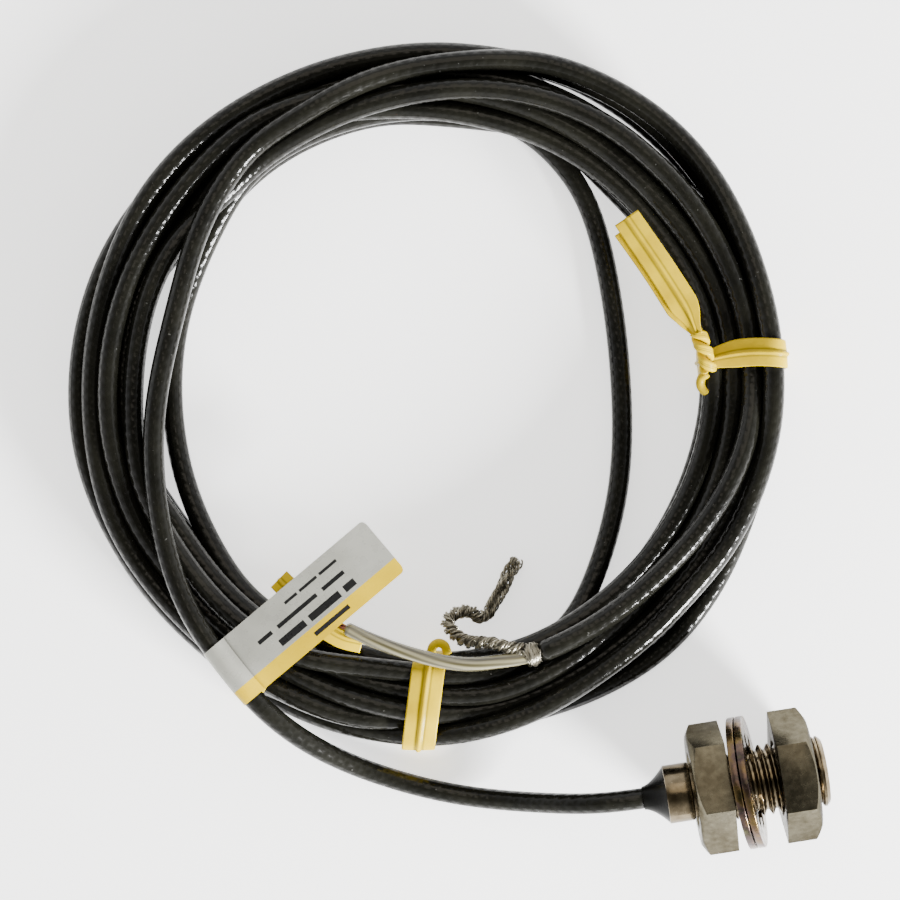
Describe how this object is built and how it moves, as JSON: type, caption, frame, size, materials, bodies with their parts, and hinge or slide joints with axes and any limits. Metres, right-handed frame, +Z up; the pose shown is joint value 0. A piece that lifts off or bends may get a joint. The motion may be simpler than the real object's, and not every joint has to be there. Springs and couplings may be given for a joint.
{
  "type": "inductive proximity sensor",
  "caption": "Cylindrical threaded inductive proximity sensor head with panel nuts, lock washers and a coiled coaxial cable held by wire ties.",
  "frame": {"origin": "centre of the sensing face", "axes": "+X along the threaded case's axis, in the sensing direction; +Z up from the surface that the sensor lies on"},
  "size_m": [0.0822, 0.0983, 0.0149],
  "materials": {
    "case": "nickel-plated, satin",
    "nuts": "nickel-plated, satin",
    "washers": "yellow chromate, iridescent",
    "cap": "moulded",
    "ferrite": "sintered",
    "bobbin": "moulded",
    "copper": "enamelled copper wire",
    "resin": "cast",
    "solder": "bright",
    "clamp": "satin",
    "boot": "moulded, matt",
    "jacket": "satin, with the braid's fine pattern showing",
    "insulation": "translucent",
    "conductor": "tarnished stranded copper",
    "braid": "tinned copper strands",
    "tie": "glossy",
    "tie_wire": "plain",
    "label": "silver film"
  },
  "bodies": {
    "sensor": {"threaded_case": "case", "sensing_cap": "cap", "ferrite_core": "ferrite", "coil_bobbin": "bobbin", "coil_winding": "copper", "coil_leads": "copper", "solder_joints": "solder", "potting_resin": "resin", "cable_clamp_ring": "clamp", "inlet_conductor": "conductor", "inlet_insulation": "insulation", "inlet_braid": "braid", "inlet_jacket": "jacket", "strain_relief": "boot", "cable_lead": "jacket", "cable_coil": "jacket", "cable_loop": "jacket", "cable_tail": "jacket", "core_insulation": "insulation", "centre_conductor": "conductor", "braid_collar": "braid", "braid_pigtail": "braid", "cable_label": "label", "tie_right": "tie", "tie_bottom": "tie", "tie_left": "tie", "tie_right_wire": "tie_wire", "tie_bottom_wire": "tie_wire", "tie_left_wire": "tie_wire"},
    "front_washer": {"front_lock_washer": "washers"},
    "front_nut": {"front_nut": "nuts"},
    "rear_washer": {"rear_lock_washer": "washers"},
    "rear_nut": {"rear_nut": "nuts"}
  },
  "joints": [
    {"name": "front_washer_slide", "type": "slide", "parent": "sensor", "child": "front_washer", "axis": [1, 0, 0], "range_m": [0, 0.00401]},
    {"name": "front_nut_turn", "type": "hinge", "parent": "front_washer", "child": "front_nut", "pos_m": [0, 0, 0], "axis": [1, 0, 0], "range_deg": [0, 1440]},
    {"name": "rear_washer_slide", "type": "slide", "parent": "sensor", "child": "rear_washer", "axis": [1, 0, 0], "range_m": [-0.00301, 0]},
    {"name": "rear_nut_turn", "type": "hinge", "parent": "rear_washer", "child": "rear_nut", "pos_m": [0, 0, 0], "axis": [1, 0, 0], "range_deg": [-1080, 0]}
  ],
  "couplings": [
    {"joint": "front_washer_slide", "follows": "front_nut_turn", "m_per_rad": 0.00015915},
    {"joint": "rear_washer_slide", "follows": "rear_nut_turn", "m_per_rad": 0.00015915}
  ]
}
